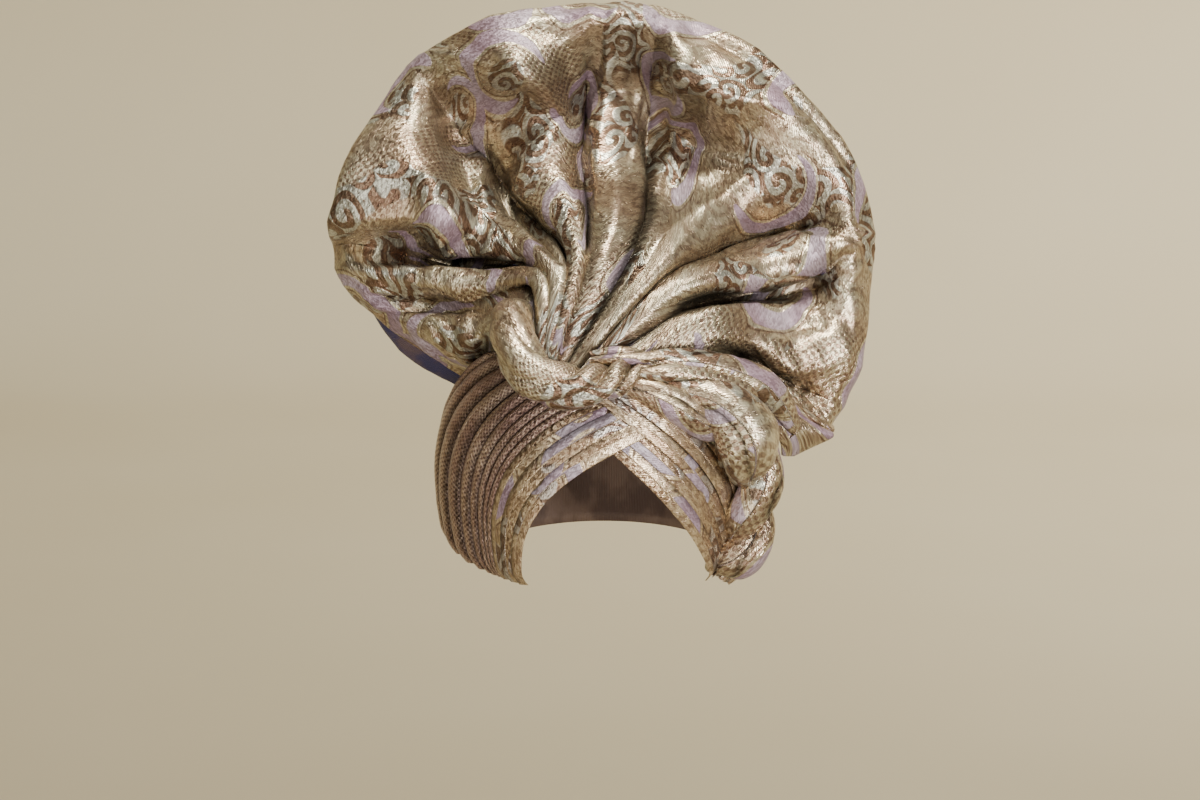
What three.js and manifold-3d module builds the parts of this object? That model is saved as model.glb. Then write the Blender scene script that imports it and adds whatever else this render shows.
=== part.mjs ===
// A tied gele: a stiff brocade head tie, pleated round the head and opened above the brow into a fan.
// Millimetres, +Z up, the wearer faces -Y, and +X is on the right of someone who looks at the face.
// The origin is the middle of the head opening, level with the temples.
import * as THREE from "three";
import { mergeVertices } from "three/addons/utils/BufferGeometryUtils.js";
import Module from "manifold-3d";

// Driving sizes
const CLOTH = 2; // wall of doubled brocade
const GAP = 0.4; // air left between two layers of cloth
const HEAD = { halfWidth: 76, halfDepth: 96, crown: 106, middleY: 6, taper: 0.05, hem: -46 };
const LAYOUT_LEAN = THREE.MathUtils.degToRad(10); // the fan is laid out on a plane that leans back

// Turns rows of values into objects with named columns.
const table = (columns, rows) =>
  rows.map((row) => Object.fromEntries(columns.map((column, i) => [column, row[i]])));

// The fan, one row for each fold from the lower left, over the top, to the lower right.
// Across (X) and up (H) on the leaning plane, and depth (D) towards the viewer. Each fold runs from its base
// at the knot over a bend, down into the bowl, forward to the lip and over the rim. lip and seam are how far the lip
// and the start of the back lie inside the rim, and pleat counts the pleats, so that a whole number is a crease.
const FAN_FOLDS = table(
  ["baseX", "baseH", "bendX", "bendH", "bendD", "bowlD", "lip", "lipD", "rimX", "rimH", "seam", "pleat"],
  [
    [-42, 78, -63, 74, 46, 12, 5, 2, -85, 62, -8, 0],
    [-39, 77, -52, 91, 56, 22, 7, 14, -111, 81, -9, 0.5],
    [-36, 76, -39, 109, 60, 6, 9, 6, -141, 103, 4, 1],
    [-35, 76, -36, 113, 66, 20, 10, 12, -153, 119, 12, 1.55],
    [-33, 75, -31, 113, 61, -8, 14, 4, -157, 136, 13, 2],
    [-32, 75, -29, 116, 66, 26, 68, 38, -157, 148, 13, 2.3],
    [-32, 74, -25, 119, 66, 16, 46, 40, -147, 182, 13, 2.6],
    [-31, 74, -20, 123, 61, -6, 8, 18, -113, 238, 13, 3],
    [-29, 73, -15, 127, 66, 18, 30, 50, -65, 262, 13, 3.5],
    [-27, 72, -10, 132, 61, 0, 14, 44, -14, 271, 13, 4],
    [-25, 70, 4, 138, 66, 4, 13, 44, 12, 272, 13, 4.5],
    [-23, 68, 19, 136, 61, -4, 12, 42, 34, 268, 13, 5],
    [-21, 66, 27, 124, 66, 2, 34, 46, 88, 245, 13, 5.4],
    [-20, 65, 30, 119, 70, 24, 18, 38, 135, 196, 13, 5.7],
    [-18, 64, 29, 113, 61, 0, 14, 28, 152, 155, 13, 6],
    [-16, 63, 40, 107, 66, 28, 13, 32, 154, 137, 13, 6.6],
    [-14, 63, 48, 98, 58, 4, 13, 24, 153, 121, 13, 7],
    [-8, 62, 56, 84, 62, 28, 11, 26, 147, 66, 13, 7.6],
    [0, 61, 72, 71, 52, 20, 6, 22, 136, 42, 13, 8],
    [6, 58, 76, 58, 52, 24, 4, 20, 127, 26, 8, 8.5],
  ],
);
const FAN = {
  baseD: 88, // the pleats start in front of the crown
  nearBowl: 0.35, // shares of the way from bend to lip where the bowl is shaped
  deepBowl: 0.72,
  centreX: 0, // the lip is drawn in towards this point
  centreH: 150,
  roll: 13, // the rim lies this far behind the lip
  seamBehind: 11,
  seamStation: 6,
  backBulge: 16,
  backZ: 52, // where the back meets the head
  backLift: 7,
  backFromDeg: -96, // round the back of the head, from the left to the right ear
  backToDeg: -264,
  slack: 0.6, // how softly one fold passes into the next
};
// Height of a pleat over its creases at the stations from base to back: base, bend, two in the bowl, lip, rim, seam,
// back and nape.
const FAN_PLEAT_HEIGHT = [1.5, 4.5, 9, 5, 0, 0, 0, 2, 0];
const FAN_FRONT = { acrossSteps: 57, alongSteps: 11, from: 0, to: 6 };
const FAN_BACK = { acrossSteps: 38, alongSteps: 5, from: 5.75, to: 8, tuck: CLOTH + 3 * GAP };
const FAN_PLEAT_ROUNDNESS = 0.75; // below 1 the ridges are round and the creases sharp

// The brow pleats on the head, one row for each guide line from left to right. Degrees round the head from the
// front, and heights. A pleat runs from the hem over a turn to the top. off is its height over the head.
const GUIDE_COLUMNS = ["hemDeg", "hemZ", "turnDeg", "turnZ", "topDeg", "topZ", "hemOff", "turnOff", "topOff"];
const LEFT_GUIDES = table(GUIDE_COLUMNS, [
  [-98, -36, -108, 58, -50, 80, 15, 21, 9.5],
  [-60, -43, -68, 46, -16, 68, 7, 14, 8],
  [-47, -45, -50, 36, 8, 58, 4, 11, 7],
  [-36, -46, -35, 22, 28, 45, 3, 9.5, 7],
]);
const RIGHT_GUIDES = table(GUIDE_COLUMNS, [
  [52, -46, 27, 12, -12, 50, 3, 3, 3],
  [62, -46, 45, 24, -8, 62, 3.5, 5, 10],
  [71, -46, 64, 42, 0, 72, 5, 12, 20],
]);
// Borders of the pleats as shares of the way across: narrow cords on the left, broad bands along the face.
const LEFT_PLEATS = {
  borders: [0, 0.075, 0.15, 0.22, 0.29, 0.36, 0.43, 0.495, 0.56, 0.625, 0.74, 0.86, 1],
  height: 3,
  alongSteps: 9,
  perPleat: 3,
};
const RIGHT_PLEATS = { borders: [0, 0.27, 0.47, 0.64, 0.82, 1], height: 2.4, alongSteps: 8, perPleat: 3 };

// The cloth over the crown and the back of the head, cut up over the face.
const CROWN_WRAP = { faceZ: 46, faceHalfDeg: 44, fadeDeg: 26, around: 26, up: 7, poleShare: 0.995, off: 1 };

// Rolls of twisted cloth, one row for each point of the roll's middle line.
const ROLL_COLUMNS = ["x", "h", "d", "radius"];
const KNOT_ROLL = table(ROLL_COLUMNS, [
  [-43, 93, 58, 8],
  [-51, 91, 78, 12],
  [-49, 78, 92, 13],
  [-42, 64, 99, 13.5],
  [-28, 55, 103, 13.5],
  [-10, 54, 104, 12.5],
  [6, 58, 102, 10.5],
  [19, 62, 97, 6],
]);
const UPPER_ROLL = table(ROLL_COLUMNS, [
  [-8, 69, 95, 4],
  [8, 70, 97, 6],
  [24, 69, 94, 5],
  [56, 67, 83, 8],
  [80, 59, 68, 12],
  [95, 45, 52, 11],
  [106, 28, 40, 7],
]);
const UNDER_ROLL = table(ROLL_COLUMNS, [
  [16, 62, 98, 4],
  [34, 60, 95, 7],
  [56, 56, 87, 8.5],
  [76, 51, 74, 8],
  [92, 46, 60, 4],
]);
const BRAID_LINE = table(ROLL_COLUMNS, [
  [12, 55, 93, 5],
  [46, 46, 88, 10],
  [74, 29, 71, 15.5],
  [84, 10, 56, 11.5],
  [84, -9, 46, 10.5],
  [81, -26, 39, 10.5],
  [75, -41, 31, 11],
  [65, -53, 22, 6],
]);
// firstLobe is the share of the braid where a strand first comes to the front, and swell how much fatter it is there.
const BRAID = { turns: 1.8, firstLobe: 0.3, spread: 0.55, swell: 0.25, strands: 2 };
const ROLL_STEPS = 15;
const ROLL_SIDES = 8;

// The loose end that points out under the fan on the right.
const TAIL_FOLDS = table(
  ["rootX", "rootH", "rootD", "tipX", "tipH", "tipD"],
  [
    [98, 52, 38, 131, 31, 22],
    [100, 47, 45, 131, 29, 27],
    [103, 41, 41, 130, 28, 27],
    [105, 34, 46, 130, 27, 32],
    [106, 27, 44, 129, 25, 32],
    [105, 21, 40, 118, 20, 31],
    [103, 15, 33, 108, 15, 27],
  ],
);

const BROCADE = { color: 0xb9a27c, roughness: 0.45, metalness: 0.35 };
const BROCADE_SHADE = { color: 0x9c8468, roughness: 0.5, metalness: 0.3 };

const wasm = await Module();
wasm.setup();

// A point of the leaning layout plane in the part's frame.
function fromLayout(x, h, d) {
  const sin = Math.sin(LAYOUT_LEAN);
  const cos = Math.cos(LAYOUT_LEAN);
  return new THREE.Vector3(x, h * sin - d * cos, h * cos + d * sin);
}

// A point at a height over the head, degrees round from the front.
function overHead(deg, z, off) {
  const turn = THREE.MathUtils.degToRad(deg);
  const { halfWidth, halfDepth, crown, middleY, taper, hem } = HEAD;
  const share = z > 0 ? Math.sqrt(Math.max(0, 1 - (z / crown) ** 2)) : 1 - taper * (z / hem) ** 2;
  const x = halfWidth * share * Math.sin(turn);
  const y = -halfDepth * share * Math.cos(turn);
  const out = new THREE.Vector3(x / halfWidth ** 2, y / halfDepth ** 2, Math.max(0, z) / crown ** 2);
  return new THREE.Vector3(x, y + middleY, z).addScaledVector(out.normalize(), off);
}

// Values between the rows of a table at a row position such as 2.4: smooth at slack 1, straight at 0.
function between(rows, at, slack = 1) {
  const i = Math.min(Math.floor(at), rows.length - 2);
  const t = at - i;
  const row = (k) => rows[THREE.MathUtils.clamp(k, 0, rows.length - 1)];
  const blend = (column) => {
    const [a, b, c, d] = [row(i - 1), row(i), row(i + 1), row(i + 2)].map((r) => r[column]);
    const smooth = b + 0.5 * t * (c - a + t * (2 * a - 5 * b + 4 * c - d + t * (3 * (b - c) + d - a)));
    return THREE.MathUtils.lerp(b + t * (c - b), smooth, slack);
  };
  return Object.fromEntries(Object.keys(rows[0]).map((column) => [column, blend(column)]));
}

function valueAlong(values, at) {
  const i = THREE.MathUtils.clamp(Math.floor(at), 0, values.length - 2);
  return THREE.MathUtils.lerp(values[i], values[i + 1], at - i);
}

// A closed geometry from points and triangles, turned so that its faces point out.
function closedGeometry(points, triangles) {
  let volume = 0;
  const cross = new THREE.Vector3();
  for (const [a, b, c] of triangles) volume += cross.crossVectors(points[b], points[c]).dot(points[a]);
  const faces = volume > 0 ? triangles : triangles.map(([a, b, c]) => [a, c, b]);
  const geometry = new THREE.BufferGeometry().setFromPoints(points);
  geometry.setIndex(faces.flat());
  return geometry;
}

// A wall of cloth with a thickness over a grid: carrier(u, v) is a point of the smooth middle surface, and
// lift(u, v) is how far the cloth stands off it along its normal. grow makes it larger on all sides.
function clothWall({ acrossSteps, alongSteps, carrier, lift, grow = 0 }) {
  const step = 1e-3;
  const points = [];
  const edge = (share) => (share === 1) - (share === 0);
  const side = (u, v, half) => {
    const across = carrier(u + step, v).sub(carrier(u - step, v)).normalize();
    const along = carrier(u, v + step).sub(carrier(u, v - step)).normalize();
    const normal = across.clone().cross(along).normalize();
    const point = carrier(u, v).addScaledVector(normal, lift(u, v) + half);
    return point.addScaledVector(across, (grow / 2) * edge(u)).addScaledVector(along, (grow / 2) * edge(v));
  };
  for (const half of [CLOTH / 2 + grow, -CLOTH / 2 - grow])
    for (let j = 0; j <= alongSteps; j += 1)
      for (let i = 0; i <= acrossSteps; i += 1) points.push(side(i / acrossSteps, j / alongSteps, half));
  const rowLength = acrossSteps + 1;
  const layer = rowLength * (alongSteps + 1);
  const triangles = [];
  const quad = (a, b, c, d) => triangles.push([a, b, c], [a, c, d]);
  for (let j = 0; j < alongSteps; j += 1)
    for (let i = 0; i < acrossSteps; i += 1) {
      const a = j * rowLength + i;
      quad(a, a + 1, a + 1 + rowLength, a + rowLength);
      quad(layer + a, layer + a + rowLength, layer + a + 1 + rowLength, layer + a + 1);
    }
  for (let i = 0; i < acrossSteps; i += 1) {
    const end = alongSteps * rowLength + i;
    quad(i + 1, i, layer + i, layer + i + 1);
    quad(end, end + 1, layer + end + 1, layer + end);
  }
  for (let j = 0; j < alongSteps; j += 1) {
    const a = j * rowLength;
    const b = a + acrossSteps;
    quad(a, a + rowLength, layer + a + rowLength, layer + a);
    quad(b + rowLength, b, layer + b, layer + b + rowLength);
  }
  return closedGeometry(points, triangles);
}

// A roll of cloth along a line of points, each with a radius: a closed tube with pointed ends.
function clothRoll(line, radii, grow = 0) {
  const path = new THREE.CatmullRomCurve3(line, false, "centripetal");
  const frames = path.computeFrenetFrames(ROLL_STEPS, false);
  const points = [];
  for (let j = 0; j <= ROLL_STEPS; j += 1) {
    const share = path.getUtoTmapping(j / ROLL_STEPS) * (radii.length - 1);
    const radius = valueAlong(radii, share) + grow;
    const middle = path.getPointAt(j / ROLL_STEPS);
    for (let i = 0; i < ROLL_SIDES; i += 1) {
      const turn = (2 * Math.PI * i) / ROLL_SIDES;
      const point = middle.clone().addScaledVector(frames.normals[j], radius * Math.cos(turn));
      points.push(point.addScaledVector(frames.binormals[j], radius * Math.sin(turn)));
    }
  }
  const first = points.length;
  points.push(path.getPointAt(0).addScaledVector(frames.tangents[0], -radii[0] / 2 - grow));
  points.push(path.getPointAt(1).addScaledVector(frames.tangents[ROLL_STEPS], radii.at(-1) / 2 + grow));
  const triangles = [];
  for (let i = 0; i < ROLL_SIDES; i += 1) {
    const next = (i + 1) % ROLL_SIDES;
    for (let j = 0; j < ROLL_STEPS; j += 1) {
      const a = j * ROLL_SIDES;
      const b = a + ROLL_SIDES;
      triangles.push([a + i, a + next, b + next], [a + i, b + next, b + i]);
    }
    const last = ROLL_STEPS * ROLL_SIDES;
    triangles.push([first, next, i], [first + 1, last + i, last + next]);
  }
  return closedGeometry(points, triangles);
}

// The line of one fold of the fan, from its base at the knot to the back of the head.
function fanFold(u) {
  const fold = between(FAN_FOLDS, u * (FAN_FOLDS.length - 1), FAN.slack);
  const inward = new THREE.Vector2(FAN.centreX - fold.rimX, FAN.centreH - fold.rimH).normalize();
  const lipX = fold.rimX + inward.x * fold.lip;
  const lipH = fold.rimH + inward.y * fold.lip;
  const bowl = (share, depth) =>
    fromLayout(
      THREE.MathUtils.lerp(fold.bendX, lipX, share),
      THREE.MathUtils.lerp(fold.bendH, lipH, share),
      depth,
    );
  const rimD = fold.lipD - FAN.roll;
  const seam = fromLayout(
    fold.rimX + inward.x * fold.seam,
    fold.rimH + inward.y * fold.seam,
    rimD - FAN.seamBehind,
  );
  const nape = overHead(
    THREE.MathUtils.lerp(FAN.backFromDeg, FAN.backToDeg, u),
    FAN.backZ,
    FAN.backLift,
  );
  const outward = new THREE.Vector3(nape.x, nape.y - HEAD.middleY, HEAD.halfDepth).normalize();
  const back = seam.clone().lerp(nape, 0.5).addScaledVector(outward, FAN.backBulge);
  return new THREE.CatmullRomCurve3(
    [
      fromLayout(fold.baseX, fold.baseH, FAN.baseD),
      fromLayout(fold.bendX, fold.bendH, fold.bendD),
      bowl(FAN.nearBowl, THREE.MathUtils.lerp(fold.bendD, fold.bowlD, 0.75)),
      bowl(FAN.deepBowl, fold.bowlD),
      fromLayout(lipX, lipH, fold.lipD),
      fromLayout(fold.rimX, fold.rimH, rimD),
      seam,
      back,
      nape,
    ],
    false,
    "centripetal",
  );
}

// One stretch of the fan's cloth between two stations of its folds, tucked under by some of its start.
function fanWall({ acrossSteps, alongSteps, from, to, tuck = 0 }, grow = 0) {
  const last = FAN_PLEAT_HEIGHT.length - 1;
  const station = (v) => THREE.MathUtils.lerp(from, to, v);
  return clothWall({
    acrossSteps,
    alongSteps,
    grow,
    carrier: (u, v) => {
      const along = THREE.MathUtils.clamp(station(v) / last, 0, 1);
      return fanFold(THREE.MathUtils.clamp(u, 0, 1)).getPoint(along);
    },
    lift: (u, v) => {
      const { pleat } = between(FAN_FOLDS, u * (FAN_FOLDS.length - 1), FAN.slack);
      const profile = Math.abs(Math.sin(Math.PI * pleat)) ** FAN_PLEAT_ROUNDNESS;
      const { smoothstep } = THREE.MathUtils;
      const under = tuck * (1 - smoothstep(station(v), FAN.seamStation, FAN.seamStation + 0.6));
      return profile * valueAlong(FAN_PLEAT_HEIGHT, station(v)) - under;
    },
  });
}

// Pleats laid over the head between guide lines.
function browPleats(guides, { borders, height, alongSteps, perPleat }, grow = 0) {
  const count = borders.length - 1;
  const last = guides.length - 1;
  const along = (a, b, c, t) => (1 - t) ** 2 * a + 2 * t * (1 - t) * b + t ** 2 * c;
  return clothWall({
    acrossSteps: count * perPleat,
    alongSteps,
    grow,
    carrier: (u, v) => {
      const g = between(guides, valueAlong(borders, u * count) * last);
      const deg = along(g.hemDeg, g.turnDeg, g.topDeg, v);
      const z = along(g.hemZ, g.turnZ, g.topZ, v);
      return overHead(deg, z, along(g.hemOff, g.turnOff, g.topOff, v) + CLOTH / 2);
    },
    lift: (u) => height * Math.sin(Math.PI * ((u * count) % 1)) ** FAN_PLEAT_ROUNDNESS,
  });
}

// The cap of cloth over crown and nape, with its lower edge cut up over the face.
function crownWrap(grow = 0) {
  const { faceZ, faceHalfDeg, fadeDeg, around, up, poleShare, off } = CROWN_WRAP;
  const edgeZ = (deg) => {
    const fromFront = Math.abs(THREE.MathUtils.euclideanModulo(deg + 180, 360) - 180);
    const back = THREE.MathUtils.smoothstep(fromFront, faceHalfDeg - fadeDeg / 2, faceHalfDeg + fadeDeg / 2);
    return THREE.MathUtils.lerp(faceZ, HEAD.hem, back);
  };
  const points = [];
  for (const half of [CLOTH / 2 + grow, -CLOTH / 2 - grow]) {
    for (let j = 0; j <= up; j += 1)
      for (let i = 0; i < around; i += 1) {
        const deg = (360 * i) / around;
        const from = edgeZ(deg) - grow;
        const rise = Math.sin((Math.PI / 2) * (j / up)) * poleShare;
        points.push(overHead(deg, THREE.MathUtils.lerp(from, HEAD.crown, rise), off + half));
      }
    points.push(new THREE.Vector3(0, HEAD.middleY, HEAD.crown + off + half));
  }
  const layer = around * (up + 1) + 1;
  const triangles = [];
  for (let i = 0; i < around; i += 1) {
    const next = (i + 1) % around;
    for (let j = 0; j < up; j += 1) {
      const a = j * around;
      const b = a + around;
      triangles.push([a + i, a + next, b + next], [a + i, b + next, b + i]);
      triangles.push([layer + a + i, layer + b + next, layer + a + next]);
      triangles.push([layer + a + i, layer + b + i, layer + b + next]);
    }
    const top = up * around;
    triangles.push([top + i, top + next, layer - 1]);
    triangles.push([layer + top + i, 2 * layer - 1, layer + top + next]);
    triangles.push([i, layer + i, layer + next], [i, layer + next, next]);
  }
  return closedGeometry(points, triangles);
}

const rollLine = (rows) => rows.map(({ x, h, d }) => fromLayout(x, h, d));
const rollRadii = (rows) => rows.map(({ radius }) => radius);

// Two rolls of cloth that lie together as one piece.
function twinRoll(first, second, grow = 0) {
  const [a, b] = [first, second].map((rows) => solidOf(clothRoll(rollLine(rows), rollRadii(rows), grow)));
  return geometryOf(a.add(b));
}

// One strand of the side braid, wound round the braid's middle line.
function braidStrand(index, grow = 0) {
  const middle = new THREE.CatmullRomCurve3(rollLine(BRAID_LINE), false, "centripetal");
  const radii = rollRadii(BRAID_LINE);
  const line = [];
  const strandRadii = [];
  for (let j = 0; j <= ROLL_STEPS; j += 1) {
    const share = j / ROLL_STEPS;
    const tangent = middle.getTangent(share);
    const front = fromLayout(0, 0, 1);
    front.addScaledVector(tangent, -front.dot(tangent)).normalize();
    const side = tangent.clone().cross(front);
    const radius = valueAlong(radii, share * (radii.length - 1));
    const turn = 2 * Math.PI * (BRAID.turns * (share - BRAID.firstLobe) + index / BRAID.strands);
    const point = middle.getPoint(share).addScaledVector(front, radius * BRAID.spread * Math.cos(turn));
    line.push(point.addScaledVector(side, radius * BRAID.spread * Math.sin(turn)));
    strandRadii.push(radius * (1 + BRAID.swell * Math.cos(turn)));
  }
  return clothRoll(line, strandRadii, grow);
}

// The loose end: a small pointed sheet with a fold along it.
function tailEnd(grow = 0) {
  const last = TAIL_FOLDS.length - 1;
  return clothWall({
    acrossSteps: 12,
    alongSteps: 2,
    grow,
    carrier: (u, v) => {
      const fold = between(TAIL_FOLDS, THREE.MathUtils.clamp(u, 0, 1) * last);
      const mix = (a, b) => THREE.MathUtils.lerp(a, b, v);
      return fromLayout(mix(fold.rootX, fold.tipX), mix(fold.rootH, fold.tipH), mix(fold.rootD, fold.tipD));
    },
    lift: () => 0,
  });
}

// Solids for cutting one piece back from another
function solidOf(geometry) {
  const bare = geometry.clone();
  for (const name of ["normal", "uv"]) bare.deleteAttribute(name);
  const merged = mergeVertices(bare, 1e-3);
  return new wasm.Manifold(
    new wasm.Mesh({
      numProp: 3,
      vertProperties: merged.attributes.position.array,
      triVerts: new Uint32Array(merged.index.array),
    }),
  );
}

function geometryOf(solid) {
  const mesh = solid.getMesh();
  const geometry = new THREE.BufferGeometry();
  geometry.setAttribute("position", new THREE.BufferAttribute(new Float32Array(mesh.vertProperties), 3));
  geometry.setIndex(new THREE.BufferAttribute(new Uint32Array(mesh.triVerts), 1));
  return geometry;
}

// A piece cut back from the pieces under it, which are taken a little larger than they are. Crumbs are dropped.
function cutBack(geometry, grownOthers) {
  const cut = grownOthers.reduce((solid, other) => solid.subtract(other), solidOf(geometry));
  const [largest] = cut.decompose().sort((a, b) => b.volume() - a.volume());
  return geometryOf(largest);
}

// The pieces in the order in which they are laid, each on the ones before it.
const PIECES = [
  ["crown_wrap", crownWrap, BROCADE_SHADE],
  ["right_brow_pleats", (grow) => browPleats(RIGHT_GUIDES, RIGHT_PLEATS, grow), BROCADE],
  ["left_brow_pleats", (grow) => browPleats(LEFT_GUIDES, LEFT_PLEATS, grow), BROCADE],
  ["fan_front", (grow) => fanWall(FAN_FRONT, grow), BROCADE],
  ["fan_back", (grow) => fanWall(FAN_BACK, grow), BROCADE_SHADE],
  ["knot_roll", (grow) => clothRoll(rollLine(KNOT_ROLL), rollRadii(KNOT_ROLL), grow), BROCADE],
  ["upper_roll", (grow) => twinRoll(UPPER_ROLL, UNDER_ROLL, grow), BROCADE],
  ["braid_strand_front", (grow) => braidStrand(0, grow), BROCADE],
  ["braid_strand_back", (grow) => braidStrand(1, grow), BROCADE_SHADE],
  ["tail_end", tailEnd, BROCADE],
];

const gele = new THREE.Group();
const laid = [];
for (const [name, make, look] of PIECES) {
  const mesh = new THREE.Mesh(cutBack(make(0), laid), new THREE.MeshStandardMaterial(look));
  mesh.name = name;
  gele.add(mesh);
  laid.push(solidOf(make(GAP)));
}

export default gele;
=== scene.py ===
"""A tied gele, dressed: the pleated fan, the brow pleats, the knot and the braid in metallic brocade.

Metres, +Z up, the wearer faces -Y. The tables are in millimetres, as the solids are.
"""
import math

import bpy
import numpy as np
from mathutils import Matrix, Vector, noise


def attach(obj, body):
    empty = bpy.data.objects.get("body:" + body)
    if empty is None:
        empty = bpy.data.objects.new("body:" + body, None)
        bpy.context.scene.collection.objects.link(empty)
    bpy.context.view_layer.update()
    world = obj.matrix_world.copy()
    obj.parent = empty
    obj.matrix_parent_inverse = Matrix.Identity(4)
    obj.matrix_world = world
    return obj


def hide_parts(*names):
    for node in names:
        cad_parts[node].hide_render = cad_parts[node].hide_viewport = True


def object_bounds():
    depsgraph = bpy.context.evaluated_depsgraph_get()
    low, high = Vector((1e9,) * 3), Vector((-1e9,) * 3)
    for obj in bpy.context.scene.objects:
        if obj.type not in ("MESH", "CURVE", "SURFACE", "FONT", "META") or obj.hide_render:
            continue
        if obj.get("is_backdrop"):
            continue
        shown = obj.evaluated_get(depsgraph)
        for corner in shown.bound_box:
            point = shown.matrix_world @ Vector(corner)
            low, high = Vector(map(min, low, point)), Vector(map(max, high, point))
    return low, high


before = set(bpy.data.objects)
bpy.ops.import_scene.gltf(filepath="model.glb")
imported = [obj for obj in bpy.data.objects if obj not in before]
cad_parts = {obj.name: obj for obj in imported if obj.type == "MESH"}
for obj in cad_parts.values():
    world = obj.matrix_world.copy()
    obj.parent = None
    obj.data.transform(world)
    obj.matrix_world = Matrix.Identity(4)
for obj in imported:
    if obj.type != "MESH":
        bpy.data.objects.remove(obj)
cad_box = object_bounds()

MM = 0.001  # metres in a millimetre
LAYOUT_LEAN = math.radians(10)  # the fan is laid out on a plane that leans back
HEAD = {"half_width": 76, "half_depth": 96, "crown": 106, "middle_y": 6, "taper": 0.05, "hem": -46}


def table(columns, rows):
    """Rows of values as one array for each named column."""
    return {name: np.array(column, float) for name, column in zip(columns.split(), zip(*rows))}


# The fan, one row for each fold from the lower left, over the top, to the lower right.
# Across (x) and up (h) on the leaning plane, and depth (d) towards the viewer. Each fold runs from its base
# at the knot over a bend, into the bowl, forward to the lip and over the rim to seam, back and nape. lip and
# seam are how far those lie inside the rim, and pleat counts the pleats: a whole number is a crease.
FAN_FOLDS = table("base_x base_h bend_x bend_h bend_d bowl_d lip lip_d rim_x rim_h seam pleat", [
    (-42, 78, -63, 74, 46, 12, 5, 2, -79, 60, -8, 0),
    (-39, 77, -52, 91, 56, 22, 7, 14, -111, 81, -9, 0.5),
    (-36, 76, -39, 109, 60, 6, 9, 6, -141, 103, 4, 1),
    (-35, 76, -36, 113, 66, 20, 10, 12, -153, 119, 12, 1.55),
    (-33, 75, -31, 113, 61, -8, 14, 4, -157, 136, 13, 2),
    (-32, 75, -29, 116, 66, 26, 68, 38, -157, 148, 13, 2.3),
    (-32, 74, -25, 119, 66, 16, 46, 40, -147, 182, 13, 2.6),
    (-31, 74, -20, 123, 61, -6, 8, 18, -113, 238, 13, 3),
    (-29, 73, -15, 127, 66, 18, 30, 50, -65, 262, 13, 3.5),
    (-27, 72, -10, 132, 61, 0, 14, 44, -14, 271, 13, 4),
    (-25, 70, 4, 138, 66, 4, 13, 44, 12, 272, 13, 4.5),
    (-23, 68, 19, 136, 61, -4, 12, 42, 34, 268, 13, 5),
    (-21, 66, 27, 124, 66, 2, 34, 46, 88, 245, 13, 5.4),
    (-20, 65, 30, 119, 70, 24, 18, 38, 135, 196, 13, 5.7),
    (-18, 64, 29, 113, 61, 0, 14, 28, 152, 155, 13, 6),
    (-16, 63, 40, 107, 66, 28, 13, 32, 154, 137, 13, 6.6),
    (-14, 63, 48, 98, 58, 4, 13, 24, 153, 121, 13, 7),
    (-8, 62, 56, 84, 62, 28, 11, 26, 147, 66, 13, 7.6),
    (0, 61, 72, 71, 52, 20, 6, 22, 136, 42, 13, 8),
    (6, 58, 76, 58, 52, 24, 4, 20, 127, 26, 8, 8.5),
])
FAN = {
    "base_d": 83,  # the pleats start in front of the crown
    "base_tuck": 6,  # and go on this far down behind the knot
    "near_bowl": 0.35,  # shares of the way from bend to lip where the bowl is shaped
    "deep_bowl": 0.72,
    "near_depth": 0.75,  # how much of the bowl's depth is reached at the first of them
    "centre": (0, 150),  # the lip is drawn in towards this point
    "roll": 13,  # the rim lies this far behind the lip
    "seam_behind": 11,
    "back_bulge": 16,
    "back_z": 52,  # where the back meets the head
    "back_lift": 7,
    "back_deg": (-96, -264),  # round the back of the head, from the left to the right ear
    "slack": 0.6,  # how softly one fold passes into the next
    "steps_per_fold": 18,
    "front_steps": 96,
    "back_steps": 24,
}
# The stations along a fold are base 0, bend 1, bowl 2 and 3, lip 4, rim 5, seam 6, back 7 and nape 8.
RIM_STATION = 5
SEAM_STATION = 6
BACK_STATION = 7
NAPE_STATION = 8
POCKET = {"folds": 1.9, "from": RIM_STATION + 0.15}  # the folds it spans, and the station it starts at
FAN_PLEAT_HEIGHT = (1.5, 4.5, 9, 5, 0, 0, 0, 2, 0)  # over the creases, at each station
PLEAT_ROUNDNESS = 0.75  # below 1 the ridges are round and the creases sharp
# What changes along a fold: stations, and the values there
CREASE_REACH = (0.5, 1.2, 4.5, 5), (0, 1, 1, 0)
WRINKLE_HEIGHT = (0, 1, 2.5, 4, 5, 6, 8), (0, 0.5, 3.6, 2.2, 0.8, 0.8, 1)
PATTERN_MEETS = (2.4, 3.4), (0, 1)
# Painted shade along a fold: the width and darkness of a crease's dark line, and the darkness beside
# creases, under the lip and at the base
LINE_WIDTH = (0, 1, 1.8), (0.21, 0.17, 0.12)
LINE_SHADE = (0, 1.5, 2.2, 3.2), (1, 1, 0.8, 0)
HOLLOW_SHADE = (0, 1, 2.6, 3.5), (0.6, 1, 0.9, 0)
LIP_SHADE = (2.7, 3.4, 3.9, 4.1), (0, 0.45, 0.45, 0)
BASE_SHADE = (0, 0.9, 1.7), (0.4, 0.25, 0)
LINE_CORE = 1.6  # above 1 a crease's line of painted shade has a dark core
HOLLOW = {"width": 0.4, "most": 0.38}  # beside a crease, in pleats, and its deepest painted shade
FULL_OVERHANG = 40  # a lip this far in front of the bowl gets full painted shade beneath it
# Wrinkles: how many to a pleat and to a station, how sharp, and the smaller ones among them
WRINKLES = {"across": 2.2, "along": 0.9, "sharp": 2.5, "fine": 2.3, "fine_share": 0.4}
DENTS = ((1.2, 30, 1), (0.5, 11, 2))  # height, size and seed
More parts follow.
